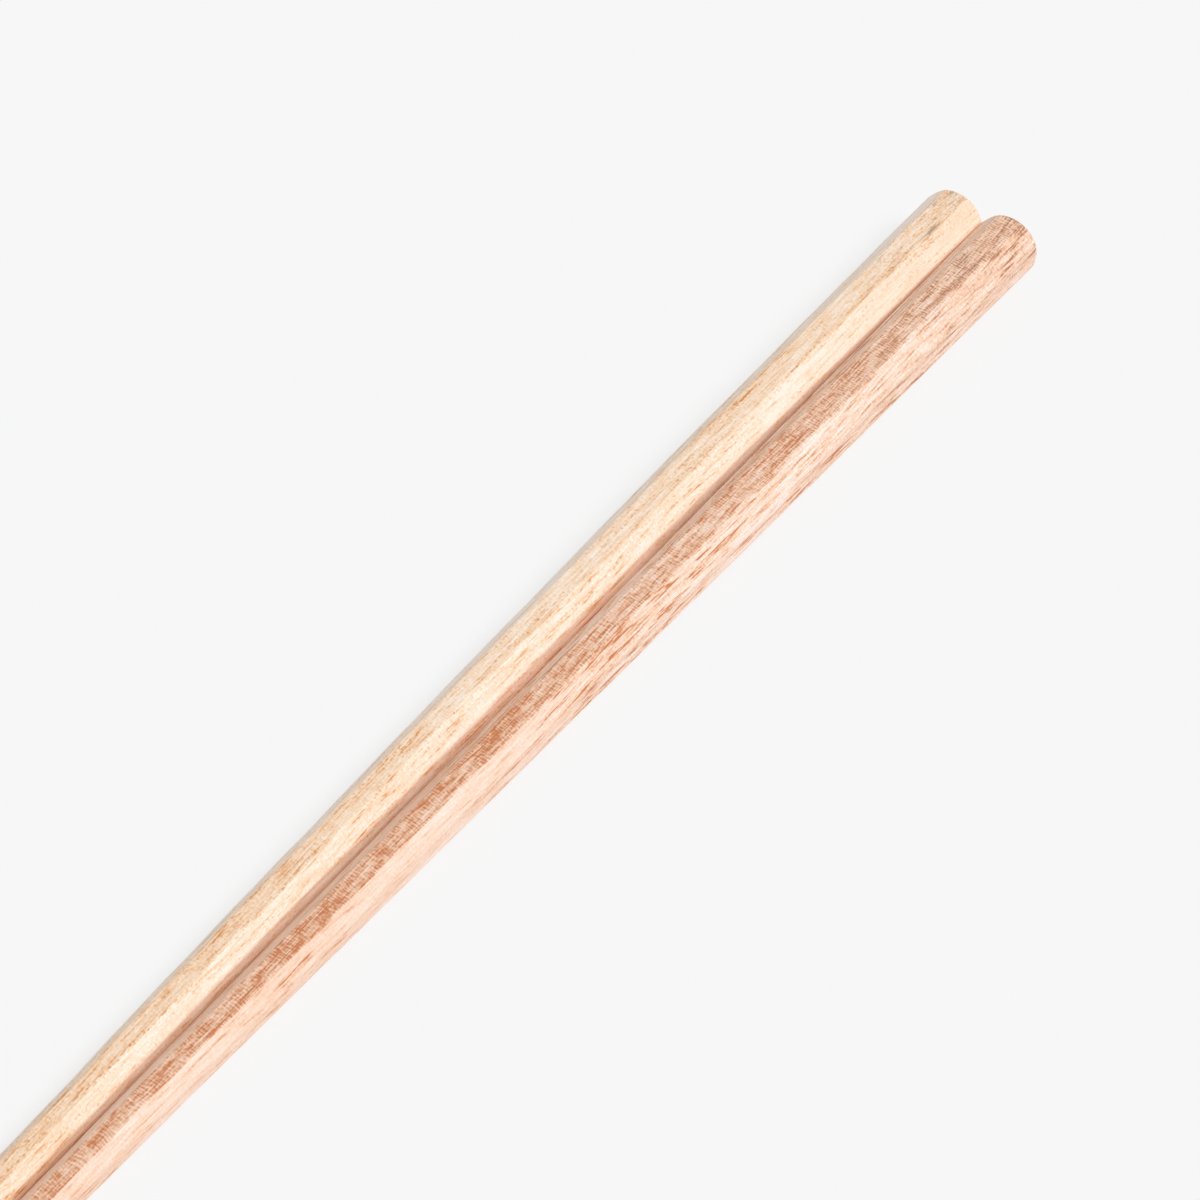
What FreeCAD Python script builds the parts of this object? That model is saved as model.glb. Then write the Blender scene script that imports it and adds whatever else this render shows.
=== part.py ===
import FreeCAD, Part
import math
import os

# A pair of wooden chopsticks lying side by side, in millimetres. Each stick is one piece of wood, planed to
# an octagon that tapers from the handle end to the tip, with sanded arrises and turned ends.
# X runs along the sticks from the tips to the handle ends, Y across them and Z up. The origin is on the
# table, under the middle of the pair.

# Sizes of one stick
stick_length = 240.0
handle_width = 9.0
tip_width = 4.1
flat_pairs = 4
arris_radius = 0.6
handle_rounding = 2.2
tip_rounding = 1.0

# How the pair lies: the clearance between the facing flats at both ends, and the sideways warp of the left
# stick, which stands off its straight neighbour by that much more at mid length.
side_clearance = 0.15
left_warp = 1.3
right_warp = 0.0

# The rim cutters stand this far out of the wood that they cut.
cutter_margin = 1.0

# Each pair of flats is planed by a stroke across the stick, long enough to pass both sticks' width.
plane_stroke = 6 * handle_width

# A flat that sags by less than this is straight.
straightness = 0.001

flat_angle = math.pi / flat_pairs
half_flat_angle = flat_angle / 2
tip_x = -stick_length / 2
handle_x = stick_length / 2


def share_at(x):
    """Share of the length from the tip to x."""
    return (x - tip_x) / stick_length


def width_at(x):
    """Width across opposite flats at x."""
    return tip_width + (handle_width - tip_width) * share_at(x)


def corner_reach(width):
    """Distance from the stick's axis to the sharp corner between two flats."""
    return width / 2 / math.cos(half_flat_angle)


def sideways_reach(width):
    """Distance from the stick's axis to its outermost line on the side that faces the other stick."""
    corner_angles = [half_flat_angle * (2 * index + 1) - math.pi / 2 for index in range(2 * flat_pairs)]
    return max(corner_reach(width) * math.cos(angle) for angle in corner_angles)


def axis_point(x, side, warp):
    """Point of a stick's axis at x. Its bottom flat stays on the table, and side is 1 for left, -1 for right."""
    width = width_at(x)
    stand_off = side_clearance / 2 + 4 * warp * share_at(x) * (1 - share_at(x))
    return FreeCAD.Vector(x, side * (sideways_reach(width) + stand_off), width / 2)


def flat_profile(side, warp, normal, outwards):
    """Side view of one flat, seen along it: straight, or the parabola of the warp through mid length."""
    def place(x):
        offset = axis_point(x, side, warp).dot(normal) + outwards * width_at(x) / 2
        return FreeCAD.Vector(x, 0, 0) + normal * offset

    tip, handle = place(tip_x), place(handle_x)
    chord_middle = (tip + handle) / 2
    sag = place(0) - chord_middle
    if sag.Length < straightness:
        return Part.makeLine(tip, handle)
    parabola = Part.BezierCurve()
    parabola.setPoles([tip, chord_middle + sag * 2, handle])
    return parabola.toShape()


def planed_pair(side, warp, angle):
    """Everything between two opposite flats that are planed straight across the stick."""
    normal = FreeCAD.Vector(0, math.cos(angle), math.sin(angle))
    stroke = FreeCAD.Vector(1, 0, 0).cross(normal) * plane_stroke
    lower = flat_profile(side, warp, normal, -1)
    upper = flat_profile(side, warp, normal, 1)
    ends = [Part.makeLine(lower.Vertexes[end].Point, upper.Vertexes[end].Point) for end in (0, 1)]
    face = Part.Face(Part.Wire([lower, ends[1], upper, ends[0]]))
    face.translate(stroke * -0.5)
    return face.extrude(stroke)


def blank(side, warp):
    """The planed stick with square-cut ends and sanded arrises. The first pair is the bottom and top flats."""
    angles = [math.pi / 2 + flat_angle * index for index in range(flat_pairs)]
    stick = planed_pair(side, warp, angles[0])
    for angle in angles[1:]:
        stick = stick.common(planed_pair(side, warp, angle))
    arrises = [edge for edge in stick.Edges if edge.BoundBox.XLength > stick_length / 2]
    return stick.makeFillet(arris_radius, arrises)


def rim_cutter(x, outwards, side, warp, rounding):
    """Ring that turns the rim of the end at x to a quarter round. outwards is 1 at the handle, -1 at the tip."""
    centre = axis_point(x, side, warp)
    corner = corner_reach(width_at(x))
    bevel = rounding * math.sqrt(0.5)

    def point(along, radius):
        return centre + FreeCAD.Vector(outwards * along, 0, radius)

    rim = point(-rounding, corner)
    crown = point(bevel - rounding, corner - rounding + bevel)
    face = point(0, corner - rounding)
    front = point(cutter_margin, corner - rounding)
    front_outside = point(cutter_margin, corner + cutter_margin)
    outside = point(-rounding, corner + cutter_margin)
    profile = Part.Wire([
        Part.Arc(rim, crown, face).toShape(),
        Part.makeLine(face, front),
        Part.makeLine(front, front_outside),
        Part.makeLine(front_outside, outside),
        Part.makeLine(outside, rim),
    ])
    return Part.Face(profile).revolve(centre, FreeCAD.Vector(1, 0, 0), 360)


def chopstick(side, warp):
    """One finished stick."""
    handle_cutter = rim_cutter(handle_x, 1, side, warp, handle_rounding)
    tip_cutter = rim_cutter(tip_x, -1, side, warp, tip_rounding)
    return blank(side, warp).cut([handle_cutter, tip_cutter])


pieces = {
    "left_chopstick": chopstick(1, left_warp),
    "right_chopstick": chopstick(-1, right_warp),
}

os.makedirs("parts", exist_ok=True)
for name, piece in pieces.items():
    solid = piece.Solids[0]
    solid.exportStep("parts/" + name + ".step")
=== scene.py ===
import math

import bpy
import numpy as np
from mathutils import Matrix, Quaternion, Vector


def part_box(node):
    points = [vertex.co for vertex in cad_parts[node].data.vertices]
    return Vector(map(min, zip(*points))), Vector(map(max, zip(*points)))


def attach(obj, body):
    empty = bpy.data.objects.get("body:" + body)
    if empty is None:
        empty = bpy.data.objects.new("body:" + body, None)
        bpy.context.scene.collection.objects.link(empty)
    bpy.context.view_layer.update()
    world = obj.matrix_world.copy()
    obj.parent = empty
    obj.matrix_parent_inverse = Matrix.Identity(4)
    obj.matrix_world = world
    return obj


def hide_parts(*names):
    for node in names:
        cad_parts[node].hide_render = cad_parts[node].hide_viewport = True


# A pair of wooden chopsticks on a pale floor. Each stick of the frame is replaced by a finer mesh of the same
# stick, with hand-planed flats, sanded arrises and a procedural wood that runs through the whole solid.

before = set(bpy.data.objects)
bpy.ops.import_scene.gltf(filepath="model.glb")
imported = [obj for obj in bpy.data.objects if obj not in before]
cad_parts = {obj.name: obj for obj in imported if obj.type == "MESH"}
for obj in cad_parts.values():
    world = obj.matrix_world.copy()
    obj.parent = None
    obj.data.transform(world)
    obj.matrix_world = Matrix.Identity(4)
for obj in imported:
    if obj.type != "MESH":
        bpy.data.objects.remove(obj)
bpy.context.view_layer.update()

# Sizes in metres. X runs from the tips to the handle ends, Y across the pair to the left stick, Z up.
MM = 0.001
TIP_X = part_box("left_chopstick")[0].x
HANDLE_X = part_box("left_chopstick")[1].x
STICK_LENGTH = HANDLE_X - TIP_X
HANDLE_WIDTH = 9.0 * MM
TIP_WIDTH = 4.1 * MM
ARRIS_RADIUS = 0.6 * MM
HANDLE_ROUNDING = 2.2 * MM
TIP_ROUNDING = 1.0 * MM
SIDE_CLEARANCE = 0.15 * MM
LEFT_WARP = 1.3 * MM
RIGHT_WARP = 0.0

# The hand work: how far the waves that the plane left reach from crest to trough at the tip, the share of
# that which is lost towards the handle, the share that the flat facing the other stick has, how much the
# arrises' radius varies, the soft blend between a flat and the turned rim at its end, and the waves' lengths.
LEFT_WAVES = 0.24 * MM
RIGHT_WAVES = 0.16 * MM
HANDLE_CALM = 0.6
INNER_FLAT_SHARE = 0.3
ARRIS_VARIATION = 0.12 * MM
RIM_BLEND = 0.18 * MM
PLANE_WAVE_LENGTHS = (91 * MM, 47 * MM, 23 * MM, 11 * MM)
ARRIS_WAVE_LENGTHS = (130 * MM, 61 * MM, 29 * MM)

# Both sticks are cut so that the flats that face straight up and down run along the rays of the wood and show
# the ripple. The higher the sharpness, the sooner the figure changes on the flats and arrises between, and it
# changes where the share of the cut goes from the first of two values to the second.
RAY_FLATS_FACE = math.radians(90)
CUT_SHARPNESS = 3
CUT_CHANGE = (0.3, 0.9)

# The mesh. The flats are numbered from the bottom one up the left side and down the right side.
FLATS = 8
FLAT_ANGLE = 2 * math.pi / FLATS
BOTTOM_FACING = -math.pi / 2
BOTTOM_FLAT = 0
LEFT_FLAT = 2
RIGHT_FLAT = 6
ARRIS_POINTS = 7
FLAT_SHARES = (0.05, 0.28, 0.5, 0.72, 0.95)
STATION_STEP = 0.8 * MM
RIM_STATIONS = 14
CAP_SHARES = (0.75, 0.5, 0.25)

# The baked map of a stick: this many lengths of its side are laid under each other, and the two end faces go
# beside them. All in metres of wood.
MAP_STRIPS = 3
MAP_STRIP_HEIGHT = 28 * MM
MAP_GAP = 0.6 * MM
MAP_SIDE = 92 * MM

# The photograph's camera, which looks down on the sticks from the tips' side.
LENS = 101.4
CAMERA_TARGET = Vector((0.0314, 0.00125, 0.0045))
CAMERA_DIRECTION = Vector((-0.50954, -0.42129, 0.75026))
CAMERA_DISTANCE = 0.4361
CAMERA_ROLL = math.radians(-2.7)
NEAREST_SEEN = 10 * MM

# The strip of floor under the gap between the sticks, where the camera sees painted shade: its length and
# width, and the shares of them from its middle between which it fades out. A faint painted glow on it, which
# lights the sticks from below, is full up to one distance from its middle and gone at the other.
GAP_STRIP = (STICK_LENGTH, 2 * TIP_WIDTH)
STRIP_EDGE = (0.47, 0.5)
GLOW_X = 22 * MM
GLOW_FULL = 6 * MM
GLOW_END = 30 * MM

# The wood's figure: rows of ripple per millimetre and how far they waver, in rows, the strength of the growth
# rings, pores and broad zones on the end faces, and how far a rim has to face the end to show end grain.
RIPPLE_ROWS = 2.3
RIPPLE_WAVER = 4.0
RING_STRENGTH = 0.16
PORE_STRENGTH = 0.2
END_ZONE_STRENGTH = 0.5
END_GRAIN_FROM = 0.75

# The wood's sheen, and how far each layer of its figure lies above the surface, in shares of the bump.
WOOD_IOR = 1.5
PALE_ROUGHNESS = 0.44
DENSE_ROUGHNESS = 0.58
BUMP_STRENGTH = 0.3
BUMP_DISTANCE = 0.03 * MM
RELIEF = {"fibres": -1.2, "lines": -1.0, "ripple": -0.3}


def share_at(x):
    """Share of the length from the tip to x."""
    return (x - TIP_X) / STICK_LENGTH


def width_at(x):
    """Width across opposite flats at x."""
    return TIP_WIDTH + (HANDLE_WIDTH - TIP_WIDTH) * share_at(x)


def corner_reach(width):
    """Distance from the stick's axis to the sharp corner between two flats."""
    return width / 2 / math.cos(FLAT_ANGLE / 2)


def axis_at(x, side, warp):
    """Y and Z of a stick's axis at x, with its bottom flat on the floor. side is 1 for left, -1 for right."""
    stand_off = SIDE_CLEARANCE / 2 + 4 * warp * share_at(x) * (1 - share_at(x))
    return side * (width_at(x) / 2 + stand_off), width_at(x) / 2


def slow_waves(x, random, lengths):
    """A slow curve along the stick between 0 and 1, as a sum of waves of these lengths."""
    total = sum(np.sin(2 * math.pi * (x / length + random.random())) for length in lengths)
    return 0.5 + 0.5 * total / len(lengths)


def rim_stations(end_x, inwards, rounding):
    """The rings of a turned rim from the end face inwards: x, the radius that the turning leaves, the way
    along the wood and how far the rim faces the end, from 0 to 1."""
    angles = np.linspace(math.pi / 2, 0, RIM_STATIONS)
    x = end_x + inwards * rounding * (1 - np.sin(angles))
    limit = corner_reach(width_at(end_x)) - rounding + rounding * np.cos(angles)
    along = rounding * (math.pi / 2 - angles)
    return x, limit, along, np.sin(angles)


def stations():
    """The rings of a stick's side from the tip to the handle end, with the same four values as a rim's."""
    tip_x, tip_limit, tip_along, tip_turn = rim_stations(TIP_X, 1, TIP_ROUNDING)
    handle_x, handle_limit, handle_along, handle_turn = rim_stations(HANDLE_X, -1, HANDLE_ROUNDING)
    count = round((handle_x[-1] - tip_x[-1]) / STATION_STEP)
    middle_x = np.linspace(tip_x[-1], handle_x[-1], count + 1)[1:-1]
    middle_along = tip_along[-1] + middle_x - tip_x[-1]
    body_end = tip_along[-1] + handle_x[-1] - tip_x[-1]
    x = np.concatenate([tip_x, middle_x, handle_x[::-1]])
    limit = np.concatenate([tip_limit, np.full(len(middle_x), HANDLE_WIDTH), handle_limit[::-1]])
    along = np.concatenate([tip_along, middle_along, body_end + (handle_along[-1] - handle_along[::-1])])
    turn = np.concatenate([tip_turn, np.zeros(len(middle_x)), handle_turn[::-1]])
    return x, limit, along, turn


def smooth_least(a, b, blend):
    """The lesser of a and b, with their crossing rounded off below both."""
    near = np.clip(1 - np.abs(a - b) / blend, 0, None)
    return np.minimum(a, b) - near * near * blend / 4


def planed_depth(x, index, inner_flat, waves, random):
    """How far a flat lies below its plane. At the handle the plane only took wood away, at the tip the waves
    go as far above it as below. The bottom flat is true, and the flat facing the other stick stays back."""
    swell = slow_waves(x, random, PLANE_WAVE_LENGTHS)
    reach = waves * (1 - HANDLE_CALM * share_at(x))
    if index == BOTTOM_FLAT:
        return np.zeros_like(x)
    if index == inner_flat:
        return INNER_FLAT_SHARE * reach * swell
    return reach * (swell - 0.5 * (1 - share_at(x)))


def arris_arc(before, after, facing, radius):
    """Y, Z and facing of the arc that joins two flats at these distances from the axis, the first of which
    has this facing."""
    turned = facing + FLAT_ANGLE
    first = before - radius
    second = after - radius
    centre_y = (first * math.sin(turned) - second * math.sin(facing)) / math.sin(FLAT_ANGLE)
    centre_z = (second * math.cos(facing) - first * math.cos(turned)) / math.sin(FLAT_ANGLE)
    swing = np.linspace(facing, turned, ARRIS_POINTS)
    y = centre_y[:, None] + radius[:, None] * np.cos(swing)
    z = centre_z[:, None] + radius[:, None] * np.sin(swing)
    return y, z, swing


def outlines(x, limit, inner_flat, waves, random):
    """Rings of points round the axis at each x, as radius and angle, and the angle that each point faces."""
    flat_facing = [BOTTOM_FACING + FLAT_ANGLE * index for index in range(FLATS)]
    reach = []
    arris = []
    for index in range(FLATS):
        reach.append(width_at(x) / 2 - planed_depth(x, index, inner_flat, waves, random))
        arris.append(ARRIS_RADIUS + ARRIS_VARIATION * slow_waves(x, random, ARRIS_WAVE_LENGTHS))
    arcs = []
    for index in range(FLATS):
        after = (index + 1) % FLATS
        arcs.append(arris_arc(reach[index], reach[after], flat_facing[index], arris[index]))

    ring_y, ring_z, facing = [], [], []
    for index in range(FLATS):
        before_y, before_z, _ = arcs[index - 1]
        after_y, after_z, swing = arcs[index]
        for share in FLAT_SHARES:
            ring_y.append(before_y[:, -1] * (1 - share) + after_y[:, 0] * share)
            ring_z.append(before_z[:, -1] * (1 - share) + after_z[:, 0] * share)
            facing.append(flat_facing[index])
        ring_y.extend(after_y.T)
        ring_z.extend(after_z.T)
        facing.extend(swing)
    y, z = np.stack(ring_y, 1), np.stack(ring_z, 1)
    radius = smooth_least(np.hypot(y, z), limit[:, None], RIM_BLEND)
    return radius, np.arctan2(z, y), np.array(facing)


def close_ends(x, radius, angle, turn):
    """The same rings, with those of both end faces, which shrink towards the axis."""
    last = len(x) - 1
    ring = [0] * len(CAP_SHARES) + list(range(len(x))) + [last] * len(CAP_SHARES)
    share = CAP_SHARES[::-1] + (1.0,) * len(x) + CAP_SHARES
    return x[ring], radius[ring] * np.array(share)[:, None], angle[ring], turn[ring]


def ring_faces(rings, around):
    """The faces between rings of points, and the fans that close the two ends round the last two points."""
    quads = []
    for low in range(0, (rings - 1) * around, around):
        high = low + around
        for point in range(around):
            after = (point + 1) % around
            quads.append((low + point, low + after, high + after, high + point))
    last = (rings - 1) * around
    tip_point = rings * around
    handle_point = tip_point + 1
    fans = []
    for point in range(around):
        after = (point + 1) % around
        fans.append((tip_point, after, point))
        fans.append((handle_point, last + point, last + after))
    return quads + fans


def add_attribute(mesh, name, kind, field, values):
    """Gives each point of the mesh a value or a vector that its material reads."""
    attribute = mesh.attributes.new(name, kind, "POINT")
    attribute.data.foreach_set(field, values.astype(np.float32).ravel())


def build_stick(name, side, warp, waves, seed):
    """The mesh of one stick, with the wood's own coordinates, how each flat is cut, and the baked map."""
    random = np.random.default_rng(seed)
    x, limit, along, turn = stations()
    inner_flat = RIGHT_FLAT if side > 0 else LEFT_FLAT
    radius, angle, facing = outlines(x, limit, inner_flat, waves, random)
    x, radius, angle, turn = close_ends(x, radius, angle, turn)
    rings, around = radius.shape

    # The wood's coordinates run along the stick's axis, and the points lie round the axis where it goes. The
    # last two are the middles of the end faces.
    y, z = radius * np.cos(angle), radius * np.sin(angle)
    grain = np.stack([np.repeat(x[:, None], around, 1), y, z], -1).reshape(-1, 3)
    grain = np.concatenate([grain, [[TIP_X, 0, 0], [HANDLE_X, 0, 0]]])
    place = grain.copy()
    place[:, 1:] += np.stack(axis_at(grain[:, 0], side, warp), -1)

    mesh = bpy.data.meshes.new(name)
    mesh.from_pydata(place.tolist(), [], ring_faces(rings, around))
    mesh.update()
    mesh.shade_smooth()
    cut = np.abs(np.cos(facing - RAY_FLATS_FACE)) ** CUT_SHARPNESS
    add_attribute(mesh, "grain", "FLOAT_VECTOR", "vector", grain / MM)
    add_attribute(mesh, "cut", "FLOAT", "value", np.concatenate([np.tile(cut, rings), [0.5, 0.5]]))
    add_attribute(mesh, "end", "FLOAT", "value", np.concatenate([np.repeat(turn, around), [1.0, 1.0]]))
    lay_out_map(mesh, along, around, grain)
    stick = bpy.data.objects.new(name, mesh)
    bpy.context.scene.collection.objects.link(stick)
    return stick


def lay_out_map(mesh, along, around, grain):
    """Gives the mesh its baked map: lengths of the side under each other, and the end faces beside them."""
    layer = mesh.uv_layers.new(name="OFBake")
    strip_length = along[-1] / MAP_STRIPS
    side_faces = (len(along) - 1) * around
    first_side_face = len(CAP_SHARES) * around
    end_u = strip_length + 4 * STATION_STEP + HANDLE_WIDTH / 2
    for face in mesh.polygons:
        number = face.index - first_side_face
        if 0 <= number < side_faces:
            ring, point = divmod(number, around)
            strip = min(int(along[ring] / strip_length), MAP_STRIPS - 1)
            bottom = MAP_GAP + strip * (MAP_STRIP_HEIGHT + MAP_GAP)
            ends = (ring, ring, ring + 1, ring + 1)
            columns = (point, point + 1, point + 1, point)
            for loop, end, column in zip(face.loop_indices, ends, columns):
                u = MAP_GAP + along[end] - strip * strip_length
                v = bottom + MAP_STRIP_HEIGHT * column / around
                layer.data[loop].uv = (u / MAP_SIDE, v / MAP_SIDE)
        else:
            at_handle = face.center.x > 0
            end_v = HANDLE_WIDTH / 2 if at_handle else HANDLE_WIDTH * 1.5 + MAP_GAP
            for loop in face.loop_indices:
                _, y, z = grain[mesh.loops[loop].vertex_index]
                layer.data[loop].uv = ((end_u + y) / MAP_SIDE, (end_v + z) / MAP_SIDE)


def srgb(red, green, blue):
    """A colour as a picture holds it, 0 to 255, in Blender's linear values."""
    shares = [value / 255 for value in (red, green, blue)]
    linear = [share / 12.92 if share <= 0.04045 else ((share + 0.055) / 1.055) ** 2.4 for share in shares]
    return (*linear, 1.0)


class Nodes:
    """A node tree that is built from its inputs to its output. Numbers and links are given alike."""

    def __init__(self, tree):
        self.tree = tree
        tree.nodes.clear()

    def add(self, kind, inputs, **settings):
        """A node with these settings, and with a value or a link for each named or numbered input."""
        node = self.tree.nodes.new(kind)
        for key, value in settings.items():
            setattr(node, key, value)
        for key, value in inputs.items():
            if isinstance(value, bpy.types.NodeSocket):
                self.tree.links.new(value, node.inputs[key])
            else:
                node.inputs[key].default_value = value
        return node

    def math(self, operation, a, b=0.0):
        """The result of this operation on one number or two."""
        return self.add("ShaderNodeMath", {0: a, 1: b}, operation=operation).outputs[0]

    def plus(self, a, b):
        return self.math("ADD", a, b)

    def minus(self, a, b):
        return self.math("SUBTRACT", a, b)

    def times(self, a, b):
        return self.math("MULTIPLY", a, b)

    def larger(self, a, b):
        return self.math("MAXIMUM", a, b)

    def wave(self, turns):
        """A sine wave from -1 to 1, once for each turn."""
        return self.math("SINE", self.times(turns, 2 * math.pi))

    def window(self, value, low, high, to_low=0.0, to_high=1.0):
        """0 below low and 1 above high, or the two given values, with a soft step between."""
        inputs = {"Value": value, "From Min": low, "From Max": high, "To Min": to_low, "To Max": to_high}
        return self.add("ShaderNodeMapRange", inputs, interpolation_type="SMOOTHSTEP").outputs[0]

    def tint(self, factor, below, above):
        """The colour below where factor is 0, and above where it is 1."""
        inputs = {0: factor, 6: below, 7: above}
        return self.add("ShaderNodeMix", inputs, data_type="RGBA").outputs[2]

    def mix(self, factor, below, above):
        """The shader below where factor is 0, and above where it is 1."""
        return self.add("ShaderNodeMixShader", {0: factor, 1: below, 2: above}).outputs[0]


class Wood(Nodes):
    """The nodes of one wood, with the places and the cut that all its marks go by."""

    def __init__(self, tree, look):
        super().__init__(tree)
        self.seed = look["seed"]
        self.place = self.add("ShaderNodeAttribute", {}, attribute_name="grain").outputs["Vector"]
        self.along = self.add("ShaderNodeSeparateXYZ", {0: self.place}).outputs["X"]
        cut = self.add("ShaderNodeAttribute", {}, attribute_name="cut").outputs["Fac"]
        self.cut = self.window(cut, *CUT_CHANGE)

        # The grain wanders off the stick's axis by a millimetre or so.
        drift = self.times(self.signed(self.marks(0.022, 0.06, 3.1, detail=1.0)), look["drift"])
        drift = self.add("ShaderNodeCombineXYZ", {"Y": drift, "Z": drift}).outputs[0]
        self.place = self.add("ShaderNodeVectorMath", {0: self.place, 1: drift}, operation="ADD").outputs[0]

    def marks(self, along, across, shift, detail=2.0):
        """Noise with this many features per millimetre along and across the grain, another for each shift."""
        shift += self.seed
        inputs = {0: self.place, 1: (along, across, across), 2: (shift, shift * 1.7, shift * 2.3)}
        stretched = self.add("ShaderNodeVectorMath", inputs, operation="MULTIPLY_ADD").outputs[0]
        inputs = {"Vector": stretched, "Scale": 1.0, "Detail": detail, "Roughness": 0.5}
        return self.add("ShaderNodeTexNoise", inputs, noise_dimensions="3D").outputs["Fac"]

    def by_cut(self, pair):
        """The first value on flats cut across the rays, the second on flats cut along them."""
        return self.window(self.cut, 0.0, 1.0, *pair)

    def signed(self, value):
        """A value from 0 to 1, moved to lie about 0."""
        return self.minus(value, 0.5)


def ripple(wood):
    """The ripple across the grain: rows that fade from place to place, and loose ticks."""
    waver = wood.times(wood.marks(0.3, 0.25, 41.0), RIPPLE_WAVER)
    rows = wood.wave(wood.plus(wood.times(wood.along, RIPPLE_ROWS), waver))
    fade = wood.window(wood.marks(0.4, 1.0, 71.0), 0.36, 0.6, 0.2, 1.0)
    rows = wood.window(wood.times(rows, fade), -1.0, 1.0)
    ticks = wood.window(wood.marks(2.8, 0.9, 67.0, detail=1.0), 0.32, 0.68)
    return wood.times(wood.plus(rows, ticks), 0.5)


def figure(wood):
    """The layers of the wood's figure, each from 0 to 1."""
    return {
        "zones": wood.marks(0.022, 0.2, 11.0),
        "bands": wood.marks(0.02, 1.0, 17.0),
        "streaks": wood.marks(0.18, 1.8, 29.0),
        "lines": wood.marks(0.32, 4.2, 31.0),
        "fibres": wood.marks(0.3, 8.0, 23.0),
        "ripple": ripple(wood),
        "columns": wood.marks(0.9, 0.25, 53.0),
        "grit": wood.marks(3.0, 3.0, 43.0, detail=0.0),
    }


def vessel_bundles(wood, look, layers):
    """Bundles of dark vessels: lines where a streak is dense."""
    bundles = wood.times(wood.window(layers["streaks"], 0.5, 0.66), wood.window(layers["lines"], 0.45, 0.6))
    bundles = wood.times(bundles, wood.window(layers["zones"], 0.4, 0.58, look["sparse"], 1.0))
    bundles = wood.times(bundles, wood.window(wood.along, *look["bundle_fade"]))
    return wood.times(bundles, wood.by_cut(look["bundles"]))


def vessel_rows(wood, look):
    """Rows of single vessels."""
    dots = wood.window(wood.marks(2.2, 3.8, 37.0, detail=0.0), 0.5, 0.68)
    rows = wood.window(wood.marks(0.08, 1.8, 39.0, detail=1.0), 0.5, 0.62)
    return wood.times(wood.times(dots, rows), look["dots"])


def side_density(wood, look, layers):
    """How dense the wood is on the sides of the stick."""
    density = wood.by_cut(look["density"])
    for low, high, change in look["changes"]:
        density = wood.plus(density, wood.times(wood.window(wood.along, low, high), wood.by_cut(change)))

    # Flats cut across the rays are calmer over a part of the length, and the ripple breaks up the lines.
    calm = wood.larger(wood.window(wood.along, *look["calm"]), wood.cut)
    broken = wood.times(wood.plus(layers["ripple"], 0.5), calm)
    weights = {"streaks": calm, "lines": broken, "grit": calm}
    for name, layer in layers.items():
        change = wood.times(wood.signed(layer), wood.by_cut(look[name]))
        if name in weights:
            change = wood.times(change, weights[name])
        density = wood.plus(density, change)
    density = wood.plus(density, wood.times(vessel_bundles(wood, look, layers), calm))
    return wood.plus(density, vessel_rows(wood, look))


def end_density(wood, look, layers):
    """How dense the end grain is: faint growth rings round a pith outside the stick, and fine pores."""
    inputs = {0: wood.place, 1: (0.0, 1.0, 1.0)}
    across = wood.add("ShaderNodeVectorMath", inputs, operation="MULTIPLY").outputs[0]
    inputs = {0: across, 1: look["pith"]}
    radius = wood.add("ShaderNodeVectorMath", inputs, operation="DISTANCE").outputs["Value"]
    rings = wood.window(wood.wave(wood.plus(radius, wood.marks(0.1, 0.4, 59.0))), -1.0, 1.0)
    pores = wood.window(wood.marks(3.0, 6.0, 61.0, detail=1.0), 0.5, 0.75)
    density = wood.plus(wood.times(wood.signed(rings), RING_STRENGTH), wood.times(pores, PORE_STRENGTH))
    density = wood.plus(density, wood.times(wood.signed(layers["zones"]), END_ZONE_STRENGTH))
    return wood.plus(density, look["end_density"])


def wood_density(wood, look, layers):
    """How dense the wood is all over the stick."""
    end = wood.add("ShaderNodeAttribute", {}, attribute_name="end").outputs["Fac"]
    end = wood.window(end, END_GRAIN_FROM, 1.0)
    on_side = wood.times(side_density(wood, look, layers), wood.minus(1.0, end))
    return wood.plus(on_side, wood.times(end_density(wood, look, layers), end))


def wood_colour(wood, look, density):
    """Pale where the wood is light and brown where streaks, vessels and ripple make it dense. Towards the
    handle the dense lines turn grey, and there are a few grey marks."""
    ramp = wood.add("ShaderNodeValToRGB", {"Fac": density})
    stops = ramp.color_ramp.elements
    stops.new(0.5)
    for stop, colour in zip(stops, look["colours"]):
        stop.color = colour
    marks = wood.window(wood.marks(0.28, 1.9, 47.0), 0.54, 0.72)
    marks = wood.times(marks, wood.by_cut(look["grey_marks"]))
    lines = wood.window(density, 0.5, 0.95, 0.0, look["grey_lines"])
    grey = wood.times(wood.plus(marks, lines), wood.window(wood.along, *look["grey_range"]))
    return wood.tint(grey, ramp.outputs["Color"], look["grey"])


def wood_relief(wood, layers):
    """The fine relief of the sanded surface, where fibres and lines are slightly sunk."""
    height = 0.0
    for name, strength in RELIEF.items():
        height = wood.plus(wood.times(layers[name], strength), height)
    inputs = {"Height": height, "Strength": BUMP_STRENGTH, "Distance": BUMP_DISTANCE}
    return wood.add("ShaderNodeBump", inputs).outputs[0]


def wood_material(name, look):
    """Solid wood with a faint satin sheen, whose figure makes it lighter or denser from place to place."""
    material = bpy.data.materials.new(name)
    material.use_nodes = True
    wood = Wood(material.node_tree, look)
    layers = figure(wood)
    density = wood_density(wood, look, layers)
    inputs = {
        "Base Color": wood_colour(wood, look, density),
        "Roughness": wood.window(density, 0.0, 1.0, PALE_ROUGHNESS, DENSE_ROUGHNESS),
        "Normal": wood_relief(wood, layers),
        "IOR": WOOD_IOR,
    }
    shader = wood.add("ShaderNodeBsdfPrincipled", inputs).outputs[0]
    wood.add("ShaderNodeOutputMaterial", {"Surface": shader})
    return material


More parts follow.
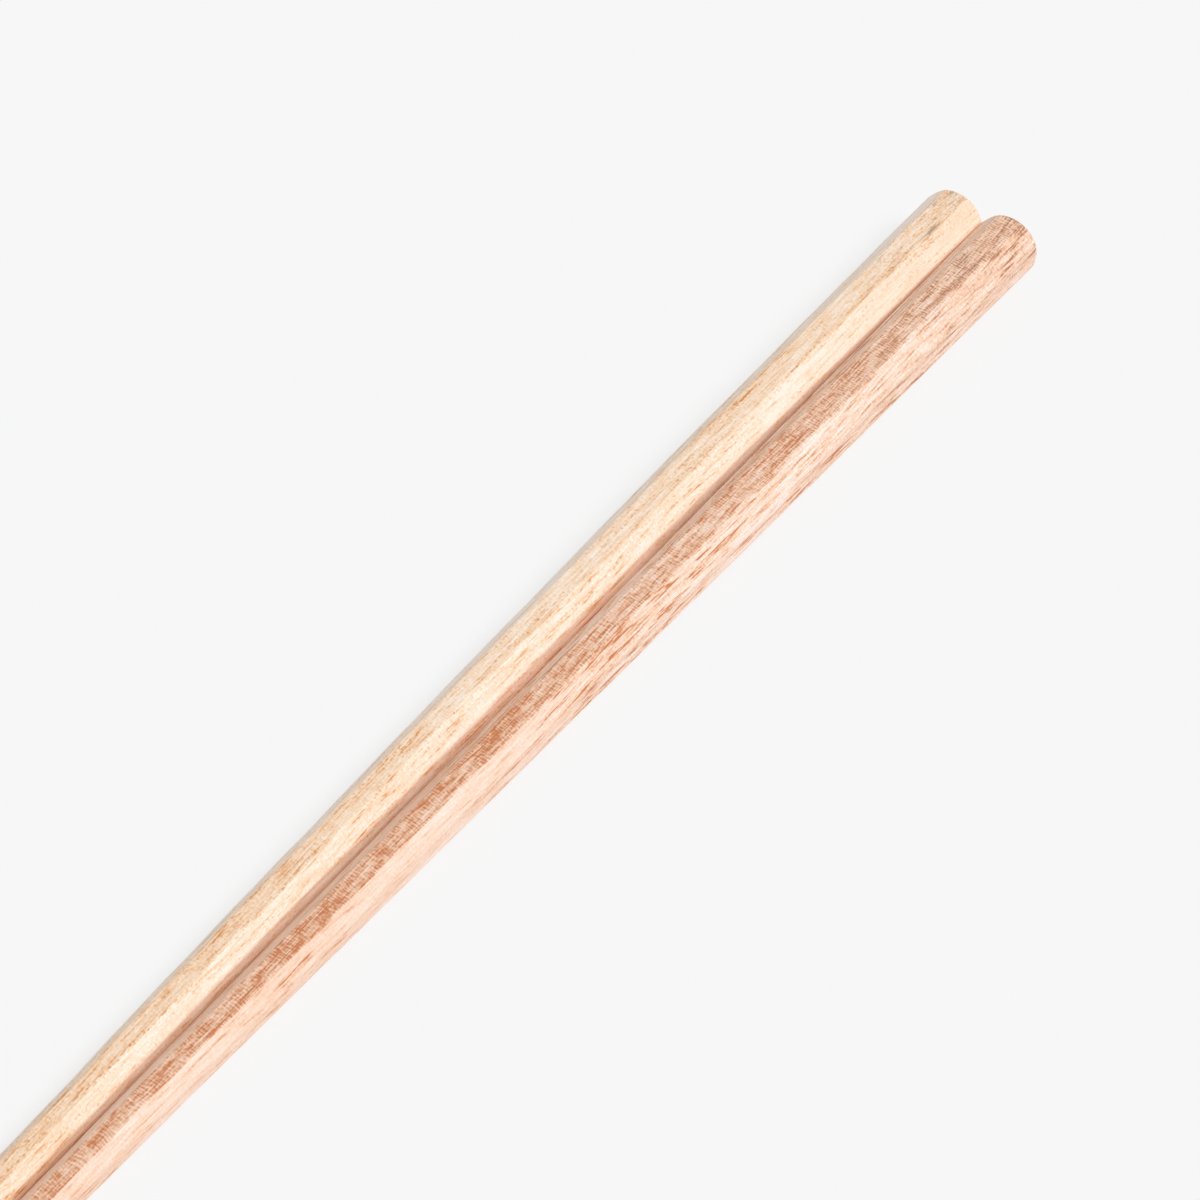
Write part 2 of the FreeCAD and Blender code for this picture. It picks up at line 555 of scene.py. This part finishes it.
# How each wood looks. A pair is the value on flats cut across the rays and on flats cut along them. A change
# of the density starts at the first place along the stick and is full at the second, in millimetres. calm,
# bundle_fade and grey_range start with two such places, and the first two go on with the values there. The
# colours go from the lightest wood to the densest.
CREAM = {
    "seed": 0.0,
    "drift": 2.4,
    "density": (0.19, 0.38),
    "changes": [(20.0, -70.0, (0.12, 0.12))],
    "calm": (105.0, 70.0, 0.55, 1.0),
    "zones": (0.5, 0.38),
    "bands": (0.4, 0.4),
    "streaks": (0.55, 0.7),
    "lines": (0.55, 0.8),
    "fibres": (0.35, 0.35),
    "ripple": (0.07, 0.12),
    "columns": (0.05, 0.15),
    "grit": (0.45, 0.45),
    "bundles": (0.46, 0.34),
    "bundle_fade": (65.0, 105.0, 1.0, 0.3),
    "sparse": 0.35,
    "dots": 0.32,
    "pith": (0.0, 9.0, -14.0),
    "end_density": 0.36,
    "colours": (srgb(253, 241, 228), srgb(242, 205, 168), srgb(212, 138, 76)),
    "grey": srgb(140, 122, 108),
    "grey_lines": 0.15,
    "grey_range": (88.0, 110.0),
    "grey_marks": (0.12, 0.6),
}
TAN = {
    "seed": 50.0,
    "drift": 3.2,
    "density": (0.36, 0.59),
    "changes": [(75.0, 115.0, (0.09, 0.02)), (30.0, 0.0, (0.03, 0.12))],
    "calm": (-5.0, 30.0, 0.5, 1.0),
    "zones": (0.6, 0.32),
    "bands": (0.4, 0.4),
    "streaks": (0.95, 0.75),
    "lines": (0.9, 1.25),
    "fibres": (0.4, 0.4),
    "ripple": (0.07, 0.42),
    "columns": (0.05, 0.38),
    "grit": (0.5, 0.5),
    "bundles": (0.9, 0.38),
    "bundle_fade": (55.0, 95.0, 1.0, 0.35),
    "sparse": 0.3,
    "dots": 0.1,
    "pith": (0.0, -16.0, -8.0),
    "end_density": 0.5,
    "colours": (srgb(252, 235, 225), srgb(237, 195, 165), srgb(198, 120, 72)),
    "grey": srgb(134, 110, 98),
    "grey_lines": 0.38,
    "grey_range": (55.0, 112.0),
    "grey_marks": (0.15, 0.3),
}


def add_stick(node, slot, side, warp, waves, seed, look):
    """One finished stick in place of its node in the frame."""
    stick = build_stick(node + "_wood", side, warp, waves, seed)
    stick.data.materials.append(wood_material(slot, look))
    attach(stick, "root")
    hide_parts(node)


def gap_mask(ground, place):
    """1 on the strip of floor under the gap between the sticks, 0 off it."""
    outside = 0.0
    for axis, size in zip("XY", GAP_STRIP):
        fade_start, fade_end = (size * share for share in STRIP_EDGE)
        distance = ground.math("ABSOLUTE", place[axis])
        outside = ground.larger(ground.window(distance, fade_start, fade_end), outside)
    return ground.minus(1.0, outside)


def floor_material(colour, seen, painted_gap_shade, painted_gap_glow, evenness):
    """The pale floor. The camera sees it part way between its lit colour and an even one, nearest to even on
    the right, the lit side. In the gap between the sticks the even one is a painted brown shade, in place of
    the shade there and the light that the wood throws on it, and there the floor also glows faintly at mid
    length, a painted glow that lights the sticks from below."""
    material = bpy.data.materials.new("floor")
    material.use_nodes = True
    ground = Nodes(material.node_tree)
    position = ground.add("ShaderNodeNewGeometry", {}).outputs["Position"]
    place = ground.add("ShaderNodeSeparateXYZ", {0: position}).outputs
    camera_ray = ground.add("ShaderNodeLightPath", {}).outputs["Is Camera Ray"]
    gap = gap_mask(ground, place)
    even_share = ground.window(place["Y"], -GAP_STRIP[1], GAP_STRIP[1], *evenness)
    off_middle = ground.math("ABSOLUTE", ground.minus(place["X"], GLOW_X))
    glow_share = ground.times(ground.window(off_middle, GLOW_END, GLOW_FULL), gap)
    # On the strip the floor emits for all rays: a painted glow that lights the sticks from below.
    share = ground.larger(ground.times(camera_ray, even_share), ground.times(glow_share, painted_gap_glow))
    # On the strip the camera sees painted brown shade in place of the even white.
    tone = ground.tint(ground.times(gap, camera_ray), seen, painted_gap_shade)
    lit = ground.add("ShaderNodeBsdfDiffuse", {"Color": colour}).outputs[0]
    even = ground.add("ShaderNodeEmission", {"Color": tone}).outputs[0]
    ground.add("ShaderNodeOutputMaterial", {"Surface": ground.mix(share, lit, even)})
    return material


def add_floor(half_side, material):
    """The floor that the sticks lie on."""
    mesh = bpy.data.meshes.new("floor")
    corners = [(-half_side, -half_side, 0), (half_side, -half_side, 0), (half_side, half_side, 0),
               (-half_side, half_side, 0)]
    mesh.from_pydata(corners, [], [(0, 1, 2, 3)])
    mesh.materials.append(material)
    floor = bpy.data.objects.new("floor", mesh)
    bpy.context.scene.collection.objects.link(floor)


def add_world(light, backdrop):
    """An even white light from all round, with a paler backdrop for what the camera and reflections see."""
    white = (1.0, 1.0, 1.0, 1.0)
    world = bpy.data.worlds.new("studio")
    world.use_nodes = True
    sky = Nodes(world.node_tree)
    path = sky.add("ShaderNodeLightPath", {}).outputs
    seen = sky.larger(path["Is Camera Ray"], path["Is Glossy Ray"])
    seen = sky.larger(seen, path["Is Transmission Ray"])
    shades = []
    for strength in (light, backdrop):
        shades.append(sky.add("ShaderNodeBackground", {"Color": white, "Strength": strength}).outputs[0])
    sky.add("ShaderNodeOutputWorld", {"Surface": sky.mix(seen, *shades)})
    bpy.context.scene.world = world


def add_key_light(direction, strength, angle):
    """One very soft light from the right of the sticks."""
    light = bpy.data.lights.new("key", "SUN")
    light.energy = strength
    light.angle = angle
    key = bpy.data.objects.new("key", light)
    key.rotation_mode = "QUATERNION"
    key.rotation_quaternion = direction.to_track_quat("Z", "Y")
    bpy.context.scene.collection.objects.link(key)


def add_camera():
    """The camera, with the photograph's slight roll about its line of sight."""
    camera = bpy.data.objects.new("camera", bpy.data.cameras.new("camera"))
    camera.data.lens = LENS
    camera.data.clip_start = NEAREST_SEEN
    direction = CAMERA_DIRECTION.normalized()
    camera.location = CAMERA_TARGET + direction * CAMERA_DISTANCE
    camera.rotation_mode = "QUATERNION"
    looking = (-direction).to_track_quat("-Z", "Y")
    camera.rotation_quaternion = Quaternion(direction, CAMERA_ROLL) @ looking
    bpy.context.scene.collection.objects.link(camera)
    bpy.context.scene.camera = camera


add_camera()
pale_floor = floor_material(
    colour=srgb(248, 248, 249),
    seen=srgb(247, 247, 247),
    # Painted brown shade on the floor in the gap between the sticks, and a painted glow under them.
    painted_gap_shade=srgb(218, 172, 142),
    painted_gap_glow=0.2,
    evenness=(0.9, 0.65),
)
add_floor(half_side=6.0, material=pale_floor)
add_world(light=0.46, backdrop=0.92)
add_key_light(Vector((0.2, -0.52, 0.83)), strength=1.98, angle=math.radians(36))
bpy.context.scene.view_settings.view_transform = "Standard"

# The narrow gap between the sticks is lit by light that goes to and fro between them many times.
bpy.context.scene.cycles.max_bounces = 16
bpy.context.scene.cycles.diffuse_bounces = 12

add_stick("left_chopstick", "cream_wood", 1, LEFT_WARP, LEFT_WAVES, 7, CREAM)
add_stick("right_chopstick", "tan_wood", -1, RIGHT_WARP, RIGHT_WAVES, 19, TAN)
